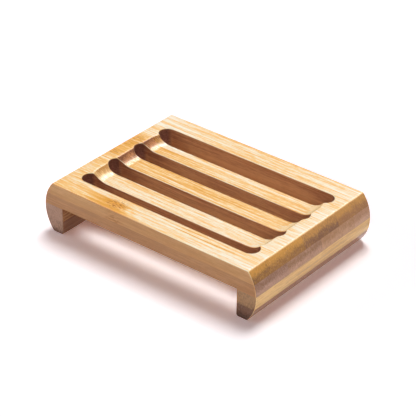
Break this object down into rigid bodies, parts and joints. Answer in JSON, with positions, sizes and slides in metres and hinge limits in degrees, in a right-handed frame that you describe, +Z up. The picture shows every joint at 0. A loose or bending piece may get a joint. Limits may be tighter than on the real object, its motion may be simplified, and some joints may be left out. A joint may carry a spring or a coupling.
{
  "type": "soap dish",
  "caption": "Slotted rectangular bamboo soap dish with a shallow recess for the bar, rounded ends and a foot under each end.",
  "frame": {"origin": "centre of the footprint, on the surface that the feet stand on", "axes": "+X along the slots, the longest side; +Y across the slots, along the feet; +Z up"},
  "size_m": [0.1208, 0.0838, 0.0251],
  "materials": {
    "bamboo_straw": "pale straw bamboo with fine long grain, sanded and lightly oiled to a satin",
    "bamboo_honey": "honey bamboo with orange streaks and node marks, sanded and lightly oiled to a satin",
    "bamboo_core": "tan bamboo of the lower ply, sanded and lightly oiled to a satin",
    "bamboo_foot": "tan bamboo with its grain along the foot, sanded and lightly oiled to a satin"
  },
  "bodies": {
    "root": {"top_strip_front": "bamboo_straw", "top_strip_front_mid": "bamboo_straw", "top_strip_rear_mid": "bamboo_honey", "top_strip_rear": "bamboo_straw", "low_strip_front": "bamboo_core", "low_strip_front_mid": "bamboo_core", "low_strip_rear_mid": "bamboo_core", "low_strip_rear": "bamboo_core", "foot_left_upper": "bamboo_foot", "foot_left_lower": "bamboo_foot", "foot_right_upper": "bamboo_foot", "foot_right_lower": "bamboo_foot"}
  },
  "joints": []
}
